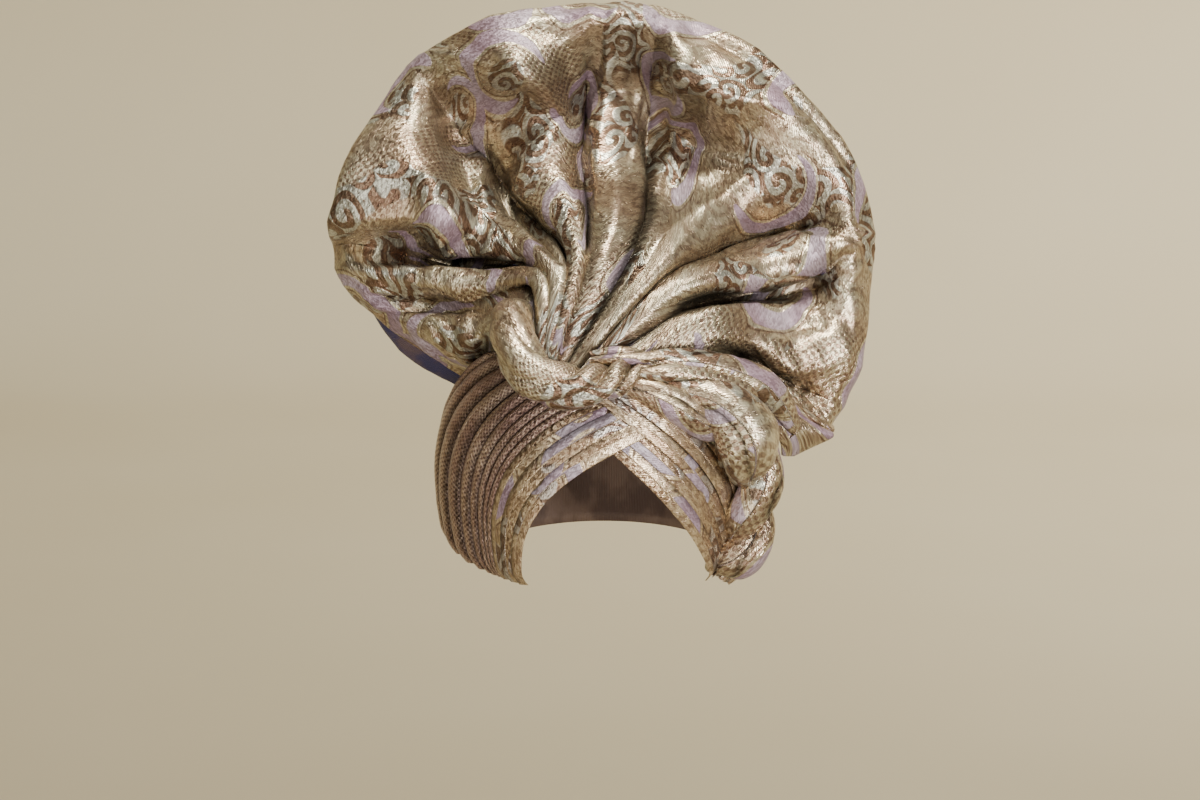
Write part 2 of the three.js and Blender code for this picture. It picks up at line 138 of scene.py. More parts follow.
# Creases pulled into the front of the fan: ridges, or grooves where the height is negative
FAN_CREASES = table("from_x from_h via_x via_h to_x to_h height width", [
    (-103, 176, -96, 155, -86, 128, 8, 15),
    (-72, 250, 0, 217, -52, 163, 9, 18),
    (2, 244, 6, 215, -3, 172, 7, 14),
    (46, 246, 53, 214, 28, 163, 6, 12),
    (102, 182, 72, 168, 20, 125, 5, 13),
    (148, 122, 100, 127, 38, 108, 6, 13),
    (140, 117, 90, 105, 25, 96, -7, 9),
    (58, 76, 85, 76, 118, 44, -6, 8),
    (25, 84, 55, 98, 110, 97, 5, 11),
    (-138, 128, -90, 127, -38, 119, -8, 10),
    (-58, 160, -42, 145, -22, 121, -7, 8),
    (-57, 150, -42, 136, -28, 120, 4, 8),
    (38, 258, 46, 212, 110, 213, 7, 13),
    (-62, 258, -20, 262, 30, 262, 5, 10),
    (-116, 240, -90, 248, -60, 236, 5, 11),
    (44, 258, 105, 238, 147, 172, -8, 12),
    (-95, 205, -75, 202, -58, 210, 4, 9),
    (-92, 182, -75, 186, -60, 176, 4, 9),
    (-132, 96, -100, 100, -66, 96, -6, 9),
    (-122, 80, -104, 83, -88, 66, 4, 8),
    (84, 92, 104, 84, 128, 90, -5, 9),
    (92, 78, 100, 64, 122, 64, 4, 8),
])
CLOTH_WALL = 1.6

# The brow pleats, one row for each guide line from left to right: degrees round the head from the front,
# heights, and how far off the head a pleat lies at its hem, its turn and its top.
GUIDE_COLUMNS = "hem_deg hem_z turn_deg turn_z top_deg top_z hem_off turn_off top_off"
LEFT_GUIDES = table(GUIDE_COLUMNS, [
    (-98, -36, -108, 58, -50, 80, 15, 21, 9.5),
    (-60, -43, -68, 46, -16, 68, 7, 14, 8),
    (-47, -45, -50, 36, 8, 58, 4, 11, 7),
    (-36, -46, -35, 22, 28, 45, 3, 9.5, 7),
])
RIGHT_GUIDES = table(GUIDE_COLUMNS, [
    (52, -46, 27, 12, -12, 50, 3, 3, 3),
    (62, -46, 45, 24, -8, 62, 3.5, 5, 10),
    (71, -46, 64, 42, 0, 72, 5, 12, 20),
])
# Borders of the pleats, as shares of the way from the first guide to the last
LEFT_CORDS = (0, 0.075, 0.15, 0.22, 0.29, 0.36, 0.43, 0.495, 0.56, 0.625)
LEFT_BANDS = (0.625, 0.74, 0.86, 1)
RIGHT_BANDS = (0, 0.27, 0.47, 0.64, 0.82, 1)

# Rolls of twisted cloth, one row for each point of the middle line
ROLL_COLUMNS = "x h d radius"
KNOT_ROLL = table(ROLL_COLUMNS, [
    (-43, 93, 58, 8),
    (-51, 91, 78, 12),
    (-49, 78, 92, 13),
    (-42, 64, 99, 13.5),
    (-28, 55, 103, 13.5),
    (-10, 54, 104, 12.5),
    (6, 58, 102, 10.5),
    (19, 62, 97, 6),
])
UPPER_ROLL = table(ROLL_COLUMNS, [
    (-8, 69, 95, 4),
    (8, 70, 97, 6),
    (24, 69, 94, 5),
    (56, 67, 83, 8),
    (80, 59, 68, 12),
    (95, 45, 52, 11),
    (106, 28, 40, 7),
])
UNDER_ROLL = table(ROLL_COLUMNS, [
    (16, 62, 98, 4),
    (34, 60, 95, 7),
    (56, 56, 87, 8.5),
    (76, 51, 74, 8),
    (92, 46, 60, 4),
])
BRAID_LINE = table(ROLL_COLUMNS, [
    (12, 55, 93, 5),
    (46, 46, 88, 10),
    (74, 29, 71, 15.5),
    (84, 10, 56, 11.5),
    (84, -9, 46, 10.5),
    (81, -26, 39, 10.5),
    (75, -41, 31, 11),
    (65, -53, 22, 6),
])
# first_lobe is the share of the braid where a strand first comes to the front, and swell how much fatter it
# is there.
BRAID = {"turns": 1.8, "first_lobe": 0.3, "spread": 0.55, "swell": 0.25, "strands": 2}
TAIL_FOLDS = table("root_x root_h root_d tip_x tip_h tip_d", [
    (98, 52, 38, 131, 31, 22),
    (100, 47, 45, 131, 29, 27),
    (103, 41, 41, 130, 28, 27),
    (105, 34, 46, 130, 27, 32),
    (106, 27, 44, 129, 25, 32),
    (105, 21, 40, 118, 20, 31),
    (103, 15, 33, 108, 15, 27),
])
# tuck is how far the tail goes on behind the braid, as a share of its length
TAIL = {"tuck": 0.4, "steps_across": 30, "steps_along": 24}
# The cloth over crown and nape, cut up over the face
CROWN_WRAP = {
    "face_z": 46,
    "face_half_deg": 44,
    "fade_deg": 26,
    "off": 1,
    "pole": 0.9995,  # the cloth ends this close to the top
    "mm_per_deg": 1.5,  # of the pattern, round the head
    "steps_round": 180,
    "steps_up": 40,
}


# Shapes


def from_layout(x, h, d):
    """Points of the leaning layout plane in the part's frame, in millimetres."""
    x, h, d = np.broadcast_arrays(*(np.asarray(value, float) for value in (x, h, d)))
    sin, cos = math.sin(LAYOUT_LEAN), math.cos(LAYOUT_LEAN)
    return np.stack([x, h * sin - d * cos, h * cos + d * sin], -1)


def unit(vectors):
    """Vectors brought to length 1."""
    return vectors / np.linalg.norm(vectors, axis=-1, keepdims=True)


def over_head(deg, z, off):
    """Points at a height over the head, degrees round from the front, and the head's normals there."""
    deg, z, off = np.broadcast_arrays(*(np.asarray(value, float) for value in (deg, z, off)))
    turn = np.radians(deg)
    above = np.sqrt(np.clip(1 - (z / HEAD["crown"]) ** 2, 0, None))
    share = np.where(z > 0, above, 1 - HEAD["taper"] * (z / HEAD["hem"]) ** 2)
    x = HEAD["half_width"] * share * np.sin(turn)
    y = -HEAD["half_depth"] * share * np.cos(turn)
    steep = np.clip(z, 0, None) / HEAD["crown"] ** 2
    out = unit(np.stack([x / HEAD["half_width"] ** 2, y / HEAD["half_depth"] ** 2, steep], -1))
    return np.stack([x, y + HEAD["middle_y"], z], -1) + out * off[..., None], out


def between(rows, at, slack=1.0):
    """Values between the rows of a table at row positions such as 2.4: smooth at slack 1, straight at 0."""
    count = len(next(iter(rows.values())))
    i = np.clip(np.floor(at).astype(int), 0, count - 2)
    t = at - i
    place = [np.clip(i + k, 0, count - 1) for k in (-1, 0, 1, 2)]

    def blend(column):
        a, b, c, d = (column[p] for p in place)
        smooth = b + 0.5 * t * (c - a + t * (2 * a - 5 * b + 4 * c - d + t * (3 * (b - c) + d - a)))
        return slack * smooth + (1 - slack) * (b + t * (c - b))

    return {name: blend(column) for name, column in rows.items()}


def along_points(points, stations):
    """Centripetal splines through points[..., k, :], read at stations that count the points."""
    first = 2 * points[..., :1, :] - points[..., 1:2, :]
    last = 2 * points[..., -1:, :] - points[..., -2:-1, :]
    held = np.concatenate([first, points, last], -2)
    i = np.clip(np.floor(stations).astype(int), 0, points.shape[-2] - 2)
    t = (stations - i)[:, None]
    p0, p1, p2, p3 = (held[..., i + k, :] for k in range(4))
    steps = (np.linalg.norm(b - a, axis=-1, keepdims=True) for a, b in ((p0, p1), (p1, p2), (p2, p3)))
    d0, d1, d2 = (np.maximum(np.sqrt(step), 1e-4) for step in steps)
    leave = ((p1 - p0) / d0 - (p2 - p0) / (d0 + d1) + (p2 - p1) / d1) * d1
    reach = ((p2 - p1) / d1 - (p3 - p1) / (d1 + d2) + (p3 - p2) / d2) * d1
    cubic = 2 * (p1 - p2) + leave + reach
    return p1 + t * (leave + t * (3 * (p2 - p1) - 2 * leave - reach + t * cubic))


def grid_normals(points):
    """The normals of a grid of points."""
    across = np.gradient(points, axis=0)
    along = np.gradient(points, axis=1)
    normal = np.cross(across, along)
    return normal / np.maximum(np.linalg.norm(normal, axis=-1, keepdims=True), 1e-9)


def crumple(points, size, seed):
    """Smooth noise from about -1 to 1 at each point."""
    shift = Vector((17.3 * seed, 5.1 * seed, 9.7 * seed))
    flat = points.reshape(-1, 3) / size
    values = [noise.noise(Vector(p) + shift) for p in flat]
    return np.array(values).reshape(points.shape[:-1])


def fan_surface(across, stations):
    """The fan's folded cloth at positions across and stations along its folds, and its pleat count."""
    f = between(FAN_FOLDS, across, FAN["slack"])
    inward = unit(np.stack([FAN["centre"][0] - f["rim_x"], FAN["centre"][1] - f["rim_h"]], -1))

    def inside_rim(far):
        return f["rim_x"] + inward[:, 0] * far, f["rim_h"] + inward[:, 1] * far

    lip_x, lip_h = inside_rim(f["lip"])

    def bowl(share, depth):
        x = f["bend_x"] + share * (lip_x - f["bend_x"])
        h = f["bend_h"] + share * (lip_h - f["bend_h"])
        return from_layout(x, h, depth)

    rim_d = f["lip_d"] - FAN["roll"]
    seam = from_layout(*inside_rim(f["seam"]), rim_d - FAN["seam_behind"])
    share = across / (len(FAN_FOLDS["pleat"]) - 1)
    start, end = FAN["back_deg"]
    nape, _ = over_head(start + share * (end - start), FAN["back_z"], FAN["back_lift"])
    outward = nape - np.array([0, HEAD["middle_y"], 0])
    outward[:, 2] = HEAD["half_depth"]
    outward = unit(outward)
    line = np.stack(
        [
            from_layout(f["base_x"], f["base_h"] - FAN["base_tuck"], FAN["base_d"]),
            from_layout(f["bend_x"], f["bend_h"], f["bend_d"]),
            bowl(FAN["near_bowl"], f["bend_d"] + FAN["near_depth"] * (f["bowl_d"] - f["bend_d"])),
            bowl(FAN["deep_bowl"], f["bowl_d"]),
            from_layout(lip_x, lip_h, f["lip_d"]),
            from_layout(f["rim_x"], f["rim_h"], rim_d),
            seam,
            (seam + nape) / 2 + outward * FAN["back_bulge"],
            nape,
        ],
        1,
    )
    carrier = along_points(line, stations)
    height = np.interp(stations, range(len(FAN_PLEAT_HEIGHT)), FAN_PLEAT_HEIGHT)
    profile = np.abs(np.sin(math.pi * f["pleat"])) ** PLEAT_ROUNDNESS
    lift = profile[:, None] * height[None, :]
    return carrier + grid_normals(carrier) * lift[..., None], f["pleat"]


def crease_lift(points, stations):
    """How far the creases lift the cloth. Each is highest at its middle and sharp along its line."""
    lean = np.array([0, math.sin(LAYOUT_LEAN), math.cos(LAYOUT_LEAN)])
    place = np.stack([points[..., 0], points @ lean], -1)[..., None, :]
    t = np.linspace(0, 1, 13)[:, None]
    lift = np.zeros(points.shape[:2])
    for from_x, from_h, via_x, via_h, to_x, to_h, height, width in zip(*FAN_CREASES.values()):
        first, via, last = np.array([(from_x, from_h), (via_x, via_h), (to_x, to_h)])
        line = (1 - t) ** 2 * first + 2 * t * (1 - t) * via + t**2 * last
        step = np.diff(line, axis=0)
        along = np.clip(np.sum((place - line[:-1]) * step, -1) / np.sum(step * step, -1), 0, 1)
        gap = np.linalg.norm(place - line[:-1] - along[..., None] * step, axis=-1)
        nearest = np.argmin(gap, -1)[..., None]
        share = ((nearest + np.take_along_axis(along, nearest, -1)) / len(step))[..., 0]
        gap = np.take_along_axis(gap, nearest, -1)[..., 0]
        lift += height * np.clip(1 - gap / width, 0, 1) ** 2 * (4 * share * (1 - share)) ** 0.5
    return lift * np.interp(stations, *CREASE_REACH)


def pleat_lines(guides, borders, steps):
    """The middle line of each brow pleat on the head, its normals, and half its width."""
    last = len(guides["hem_deg"]) - 1
    v = np.linspace(0, 1, steps)

    def line(share):
        g = between(guides, np.atleast_1d(share * last))

        def along(part):
            hem, turn, top = (g[f"{place}_{part}"] for place in ("hem", "turn", "top"))
            return (1 - v) ** 2 * hem + 2 * v * (1 - v) * turn + v**2 * top

        return over_head(along("deg"), along("z"), along("off"))

    for first, second in zip(borders, borders[1:]):
        points, normals = line((first + second) / 2)
        low, _ = line(first)
        high, _ = line(second)
        tangent = unit(np.gradient(points, axis=0))
        width = high - low
        width -= tangent * np.sum(width * tangent, -1, keepdims=True)
        yield points, normals, np.linalg.norm(width, axis=-1) / 2


def roll_line(rows, steps):
    """Points and radii along a roll."""
    points = from_layout(rows["x"], rows["h"], rows["d"])
    stations = np.linspace(0, len(points) - 1, steps)
    return along_points(points, stations), np.interp(stations, range(len(points)), rows["radius"])


def sides_along(points):
    """Directions square to a line of points, carried along it without twist."""
    tangents = unit(np.gradient(points, axis=0))
    side = np.cross(tangents[0], (0, 0, 1.0))
    sides = []
    for tangent in tangents:
        side = side - tangent * (side @ tangent)
        side /= np.linalg.norm(side)
        sides.append(side)
    return np.array(sides)


# Materials


class Wire:
    """A value at a node's output. Sums and products of wires add Math nodes."""

    def __init__(self, tree, socket):
        self.tree = tree
        self.socket = socket

    def add(self, kind, settings=None, inputs=None, output=0):
        """A new node with its settings and then its inputs, as the wire of one of its outputs."""
        node = self.tree.nodes.new(kind)
        for name, value in (settings or {}).items():
            setattr(node, name, value)
        for name, value in (inputs or {}).items():
            if isinstance(value, Wire):
                self.tree.links.new(value.socket, node.inputs[name])
            else:
                node.inputs[name].default_value = value
        return Wire(self.tree, node.outputs[output] if node.outputs else None)

    def math(self, operation, *values):
        inputs = dict(enumerate((self, *values)))
        return self.add("ShaderNodeMath", {"operation": operation}, inputs)

    def __add__(self, other):
        return self.math("ADD", other)

    __radd__ = __add__

    def __mul__(self, other):
        return self.math("MULTIPLY", other)

    __rmul__ = __mul__

    def __sub__(self, other):
        return self.math("SUBTRACT", other)

    def __rsub__(self, other):
        return (self * -1) + other

    def __truediv__(self, other):
        return self.math("DIVIDE", other)

    def __neg__(self):
        return self * -1

    def over(self, low, high):
        """0 below low, 1 above high, and smooth between."""
        inputs = {"Value": self, "From Min": low, "From Max": high}
        settings = {"interpolation_type": "SMOOTHSTEP"}
        return self.add("ShaderNodeMapRange", settings, inputs)

    def between(self, low, high):
        """1 from low to high, with soft ends."""
        return self.over(low - 0.25, low + 0.25) * (1 - self.over(high - 0.25, high + 0.25))

    def vector(self, operation, *values, output=0):
        inputs = {}
        for place, value in enumerate((self, *values)):
            inputs["Scale" if operation == "SCALE" and place else place] = value
        return self.add("ShaderNodeVectorMath", {"operation": operation}, inputs, output)

    def blend(self, first, second):
        """A colour between two, by this wire's value."""
        settings = {"data_type": "RGBA"}
        return self.add("ShaderNodeMix", settings, {"Factor": self, 6: first, 7: second}, output=2)

    def parts(self):
        node = self.add("ShaderNodeSeparateXYZ", None, {0: self}).socket.node
        return [Wire(self.tree, output) for output in node.outputs]


def srgb(red, green, blue):
    """A colour as it looks on a screen, 0 to 255, in linear light."""
    parts = [c / 255 for c in (red, green, blue)]
    return (*(c / 12.92 if c <= 0.04045 else ((c + 0.055) / 1.055) ** 2.4 for c in parts), 1)


# Dyes as they look on a screen: on the fan and the rolls, on the broad bands, and on the narrow cords. The
# band and cord sets are mostly darker copies of the fan's, partly the cloth's own colour and partly painted
# shade
DYES = {
    "cream": ((200, 190, 160), (202, 184, 152), (204, 182, 160)),
    "silver": ((190, 192, 178), (174, 170, 163), (172, 154, 142)),
    "pale": ((178, 158, 130), (168, 146, 117), (168, 140, 126)),
    "gold": ((132, 107, 88), (124, 99, 78), (104, 76, 72)),
    "brown": ((106, 79, 62), (100, 80, 71), (78, 57, 55)),
    "lilac": ((146, 124, 134), (137, 117, 128), (138, 112, 122)),
    "pale_lilac": ((164, 149, 156), (152, 142, 149), (156, 134, 140)),
}
BRIGHT_CLOTH, BAND_DYE_AND_SHADE, CORD_DYE_AND_SHADE = (
    {name: srgb(*colours[cloth]) for name, colours in DYES.items()} for cloth in range(3)
)
POCKET_REVERSE = srgb(52, 48, 84), srgb(88, 72, 78)
CROWN_REVERSE = srgb(86, 68, 60), srgb(112, 92, 80)
DULL_THREAD = (0.66, 0.61, 0.61)  # the dull threads' share of a dye's red, green and blue
BRIGHT_THREAD = 1.1
# How much the painted shade of the crease value darkens a dye
CREASE_SHADE = 0.84
HALF = (0.5, 0.5, 0.5)  # the middle of a noise colour

# Millimetres on the cloth: how far apart motifs and patches lie, and how wide their lines are
WEAVE = {
    "wander": 42,  # the pattern wanders slowly, by up to half of wander_reach
    "wander_reach": 16,
    "swirl_pitch": 74,
    "swirl_size": 18,
    "swirl_more": 16,  # how much larger a swirl may be by chance
    "swirl_width": 5.6,
    "scroll_pitch": 19,
    "scroll_line": 7.5,
    "scroll_patch": 46,
    "curl_pitch": 25,
    "curl_line": 7,
    "scale_patch": 75,
    "tone_patch": 34,
    "rib": 1.4,
    "relief": 0.5,
}
FLOATS_PER_MM = (0.65, 1.3, 0)  # bright metal floats, longer across than along
FLOAT_SLANT = 0.24


def new_material(name):
    """A material without nodes, and its node tree."""
    material = bpy.data.materials.new(name)
    material.use_nodes = True
    tree = material.node_tree
    tree.nodes.clear()
    return material, tree


def motif_cells(cloth, size, randomness):
    """Each cell's own millimetres about its motif, turned at random, and three random values."""
    cells = cloth.vector("SCALE", 1 / size)
    spot = cells.add(
        "ShaderNodeTexVoronoi",
        {"voronoi_dimensions": "2D", "feature": "F1"},
        {"Vector": cells, "Scale": 1, "Randomness": randomness},
    ).socket.node
    chance = Wire(cloth.tree, spot.outputs["Color"]).parts()
    local = cells.vector("SUBTRACT", Wire(cloth.tree, spot.outputs["Position"])).vector("SCALE", size)
    turned = {"Vector": local, "Angle": chance[0] * math.tau}
    return local.add("ShaderNodeVectorRotate", {"rotation_type": "Z_AXIS"}, turned), chance


def swirl(local, size, width, length):
    """A comma that curls in round the middle of a motif.

    Gives the millimetres inside the comma and inside the round that it leaves free, and a fade at its ends.
    """
    x, y, _ = local.parts()
    share = y.math("ARCTAN2", x) / math.tau + 0.5
    along = (share / length).math("MINIMUM", 1)
    taper = along * (1 - along) * 4
    away = local.vector("LENGTH", output=1)
    middle = size * (1.1 - 0.62 * share)
    band = width * (1.25 - 0.6 * along) * taper.math("SQRT") - (away - middle).math("ABSOLUTE")
    return band, 0.6 * size - width - away, taper.over(0.0, 0.3)


def spiral(local, arms, pitch, start=0.0):
    """A wave from -1 to 1 that winds round the middle of a motif."""
    x, y, _ = local.parts()
    away = local.vector("LENGTH", output=1) * (math.tau / pitch)
    return (y.math("ARCTAN2", x) * arms + away + start).math("SINE")


def soft_noise(cloth, size, detail=0.0, output=0):
    """Noise on the cloth with patches of a size."""
    inputs = {"Vector": cloth, "Scale": 1 / size, "Detail": detail}
    return cloth.add("ShaderNodeTexNoise", {"noise_dimensions": "2D"}, inputs, output)


def brocade(name, dyes, shift=(0, 0), scales=0.5, motifs=1.0, dot=5.0):
    """Jacquard brocade on the piece's own cloth map in metres, shifted by millimetres.

    scales is the share of it in fish-scale dots, dot their spacing, and motifs how strong its swirls are.
    """
    material, tree = new_material(name)
    start = Wire(tree, tree.nodes.new("ShaderNodeUVMap").outputs[0])
    flat = start.vector("SCALE", 1 / MM).vector("ADD", (*shift, 0))
    wander = soft_noise(flat, WEAVE["wander"], output=1).vector("SUBTRACT", HALF)
    drift = wander.vector("SCALE", WEAVE["wander_reach"])
    cloth = flat.vector("ADD", drift)

    # Lilac swirls, edged in cream and brown
    local, chance = motif_cells(cloth, WEAVE["swirl_pitch"], 0.7)
    size = WEAVE["swirl_size"] + WEAVE["swirl_more"] * chance[1]
    band, core, taper = swirl(local, size, WEAVE["swirl_width"], 0.5 + 0.4 * chance[2])
    taper = taper * motifs
    lilac = band.over(-0.4, 0.5) * motifs
    halo = band.between(-1.7, -0.3) * taper
    outline = band.between(-3.2, -2.1) * taper * 0.6

    # Bold scrollwork within the swirls and in a few patches, and fine curling lines over the ground
    scroll, chance = motif_cells(cloth, WEAVE["scroll_pitch"], 0.9)
    scrolls = spiral(scroll, 1, WEAVE["scroll_line"], chance[1] * math.tau).over(-0.3, 0.4)
    patches = soft_noise(cloth, WEAVE["scroll_patch"]).over(0.6, 0.63)
    bold = core.over(-0.5, 0.7).math("MAXIMUM", patches) * (0.8 * motifs)
    curl, chance = motif_cells(cloth, WEAVE["curl_pitch"], 0.9)
    curls = spiral(curl, 2, WEAVE["curl_line"], chance[1] * math.tau).over(0.1, 0.7) * 0.5

    # Fish scales: rows of dots in broad patches
    x, y, _ = flat.vector("ADD", drift.vector("SCALE", 0.4)).parts()
    net = ((x + y) * (math.tau / dot)).math("COSINE") + ((x - y) * (math.tau / dot)).math("COSINE")
    dots = net.over(-0.8, 0.4)
    scaly = soft_noise(flat, WEAVE["scale_patch"]).over(1 - scales - 0.03, 1 - scales + 0.03)

    # Each layer of the pattern over the one before
    tone = soft_noise(flat, WEAVE["tone_patch"], 1.0)
    ground = tone.over(0.25, 0.75).blend(dyes["pale"], dyes["cream"])
    colour = curls.blend(ground, dyes["gold"])
    colour = (scaly * 0.75).blend(colour, dots.blend(dyes["gold"], ground))
    colour = bold.blend(colour, scrolls.blend(dyes["brown"], dyes["silver"]))
    colour = halo.blend(colour, dyes["cream"])
    colour = outline.blend(colour, dyes["brown"])
    colour = lilac.blend(colour, tone.over(0.3, 0.7).blend(dyes["lilac"], dyes["pale_lilac"]))

    # Threads: fine ribs, and bright metal floats among dull rosy ones that each lie at their own slant
    ribs = ((x * 0.8 + y) * (math.tau / WEAVE["rib"])).math("SINE")
    woven = flat.vector("MULTIPLY", FLOATS_PER_MM)
    cells = {"Vector": woven, "Scale": 1}
    floats = woven.add("ShaderNodeTexVoronoi", {"voronoi_dimensions": "2D"}, cells, output=1)
    glint, _, _ = floats.parts()
    # The crease value is painted shade: it darkens the dye in creases, grooves, under the lip, at the fan's
    # base and along the pleats' sides
    crease = start.add("ShaderNodeAttribute", {"attribute_name": "crease"}, None, output=2)
    dull = colour.vector("MULTIPLY", DULL_THREAD)
    colour = glint.over(0.1, 0.9).blend(dull, colour.vector("SCALE", BRIGHT_THREAD))
    colour = colour.vector("SCALE", (1 + 0.05 * ribs) * (1 - CREASE_SHADE * crease))
    raised = lilac * 0.5 - outline * 0.5 + dots * scaly * 0.4 + scrolls * bold * 0.4
    relief = raised + ribs * 0.06 + glint * 0.1
    height = {"Strength": 0.8, "Distance": WEAVE["relief"] * MM, "Height": relief}
    bump = relief.add("ShaderNodeBump", None, height)
    slant = floats.vector("SUBTRACT", HALF).vector("SCALE", FLOAT_SLANT)
    bump = bump.vector("ADD", slant).vector("NORMALIZE")
    finish = relief.add(
        "ShaderNodeBsdfPrincipled",
        None,
        {
            "Base Color": colour,
            "Metallic": 0.85 - 0.45 * lilac,
            "Roughness": 0.27 + 0.1 * glint + 0.12 * lilac,
            "Normal": bump,
        },
    )
    finish.add("ShaderNodeOutputMaterial", None, {"Surface": finish})
    return material


REVERSE = {"patch": 25, "thread": 1.2, "relief": 0.3}  # millimetres


def reverse_cloth(name, dyes):
    """The wrong side of the brocade: dull floats in two dyes."""
    material, tree = new_material(name)
    cloth = Wire(tree, tree.nodes.new("ShaderNodeUVMap").outputs[0]).vector("SCALE", 1 / MM)
    cells = {"Vector": cloth, "Scale": 1 / REVERSE["patch"], "Detail": 3}
    patches = cloth.add("ShaderNodeTexNoise", None, cells)
    across, _, _ = cloth.parts()
    threads = (across * (math.tau / REVERSE["thread"])).math("SINE")
    colour = patches.over(0.42, 0.6).blend(*dyes)
    height = {"Strength": 0.4, "Distance": REVERSE["relief"] * MM, "Height": threads}
    bump = threads.add("ShaderNodeBump", None, height)
    looks = {"Base Color": colour, "Roughness": 0.6, "Metallic": 0.2, "Normal": bump}
    finish = threads.add("ShaderNodeBsdfPrincipled", None, looks)
    finish.add("ShaderNodeOutputMaterial", None, {"Surface": finish})
    return material


FAN_BROCADE = brocade("fan_brocade", BRIGHT_CLOTH, shift=(80, 20), scales=0.4)
ROLL_BROCADE = brocade("roll_brocade", BRIGHT_CLOTH, shift=(12, 44), scales=0.55)
BAND_BROCADE = brocade("band_brocade", BAND_DYE_AND_SHADE, shift=(57, 90), scales=0.25)
KNOT_BROCADE = brocade("knot_brocade", BRIGHT_CLOTH, shift=(20, 75), scales=0.45, dot=3.2)
CORD_BROCADE = brocade("cord_brocade", CORD_DYE_AND_SHADE, shift=(31, 17), scales=1.0, motifs=0.0, dot=3.0)
FAN_WRONG_SIDE = reverse_cloth("fan_wrong_side", POCKET_REVERSE)
CROWN_WRONG_SIDE = reverse_cloth("crown_wrong_side", CROWN_REVERSE)


# Pieces


def link(name, mesh):
    """A new object in the scene."""
    piece = bpy.data.objects.new(name, mesh)
    bpy.context.scene.collection.objects.link(piece)
    return piece


def applied(piece):
    """The piece with its modifiers turned into plain mesh."""
    graph = bpy.context.evaluated_depsgraph_get()
    mesh = bpy.data.meshes.new_from_object(piece.evaluated_get(graph), depsgraph=graph)
    piece.modifiers.clear()
    piece.data = mesh
    mesh.name = piece.name
    return piece


def cloth_sheet(name, points, cloth_map, wall, materials, crease=None, turned=None):
    """A grid of points in millimetres as a sheet of cloth with a wall.

    cloth_map gives each quad's corners, crease the painted shade that darkens each point, and turned the
    quads that show the wrong side.
    """
    wide, long = points.shape[:2]
    index = np.arange(wide * long).reshape(wide, long)
    quads = np.stack([index[:-1, :-1], index[1:, :-1], index[1:, 1:], index[:-1, 1:]], -1).reshape(-1, 4)
    mesh = bpy.data.meshes.new(name)
    mesh.from_pydata((points.reshape(-1, 3) * MM).tolist(), [], quads.tolist())
    on_cloth = (cloth_map * MM).ravel().astype(np.float32)
    mesh.uv_layers.new(name="cloth_map").data.foreach_set("uv", on_cloth)
    for material in materials:
        mesh.materials.append(material)
    # The crease value is painted shade: the brocade darkens its dye by it
    if crease is not None:
        mesh.attributes.new("crease", "FLOAT", "POINT").data.foreach_set("value", crease.ravel())
    if turned is not None:
        mesh.polygons.foreach_set("material_index", turned.ravel().astype(np.int32))
    mesh.shade_smooth()
    piece = link(name, mesh)
    solid = piece.modifiers.new("wall", "SOLIDIFY")
    solid.thickness = wall * MM
    solid.offset = 0
    solid.use_quality_normals = True
    solid.material_offset = len(materials) - 1
    return applied(piece)


def lengths(points, axis):
    """Distance along a grid from its first row."""
    step = np.linalg.norm(np.diff(points, axis=axis), axis=-1)
    return np.insert(np.cumsum(step, axis=axis), 0, 0, axis=axis)


def corners(values):
    """Values at a grid's points as one row of four for each quad."""
    return np.stack([values[:-1, :-1], values[1:, :-1], values[1:, 1:], values[:-1, 1:]], -1)


def fan_wrinkles(points, pleat, stations):
    """How far wrinkles along the folds, soft dents and the pulled creases lift the fan's cloth."""
    across = pleat[:, None] * WRINKLES["across"]
    fold = np.stack(np.broadcast_arrays(across, stations * WRINKLES["along"], 0), -1)

    def ridges(size, seed):
        return 1 - WRINKLES["sharp"] * abs(crumple(fold * size, 1, seed))

    wrinkles = ridges(1, 4) + WRINKLES["fine_share"] * ridges(WRINKLES["fine"], 7)
    dents = sum(height * crumple(points, size, seed) for height, size, seed in DENTS)
    return np.interp(stations, *WRINKLE_HEIGHT) * wrinkles + dents + crease_lift(points, stations)


def fan_cloth_map(points, pleat, stations):
    """Where each quad lies on the flat cloth, in millimetres.

    Each pleat shows its own stretch of cloth. The rest is hidden in the creases, up to where the stretches
    meet below the lip.
    """
    rim = np.argmin(abs(stations - RIM_STATION))
    reach = lengths(points, 0)
    down = lengths(points, 1)
    middle = (pleat[:-1] + pleat[1:]) / 2
    ridge = np.array([np.argmin(abs(pleat - (math.floor(p) + 0.5))) for p in middle])
    hidden = reach[:, rim : rim + 1] - reach
    ridges = np.unique(ridge)
    shared = np.stack([np.interp(range(len(pleat)), ridges, column) for column in hidden[ridges].T], 1)
    met = np.interp(stations, *PATTERN_MEETS)
    first = reach[:-1] + (1 - met) * hidden[ridge] + met * shared[:-1]
    second = reach[1:] + (1 - met) * hidden[ridge] + met * shared[1:]
    sideways = np.stack([first[:, :-1], second[:, :-1], second[:, 1:], first[:, 1:]], -1)
    return np.stack([sideways, corners(down - down[:, rim : rim + 1])], -1)


def fan_shade(across, pleat, stations):
    """How dark each point of the fan is painted, as painted shade: in a crease, beside it, under the lip or
    at the base.
    """
    from_crease = abs(pleat - np.round(pleat))[:, None]
    width = np.interp(stations, *LINE_WIDTH)
    line = np.clip(LINE_CORE - from_crease / width, 0, 1) * np.interp(stations, *LINE_SHADE)
    hollow = np.clip(1 - from_crease / HOLLOW["width"], 0, HOLLOW["most"])
    hollow = hollow * np.interp(stations, *HOLLOW_SHADE)
    overhang = (FAN_FOLDS["lip_d"] - FAN_FOLDS["bowl_d"]) / FULL_OVERHANG
    overhang = np.clip(np.interp(across, range(len(overhang)), overhang), 0, 1)
    under_lip = overhang[:, None] * np.interp(stations, *LIP_SHADE)
    base = np.interp(stations, *BASE_SHADE)
    return np.maximum.reduce(np.broadcast_arrays(line, hollow, under_lip, base))


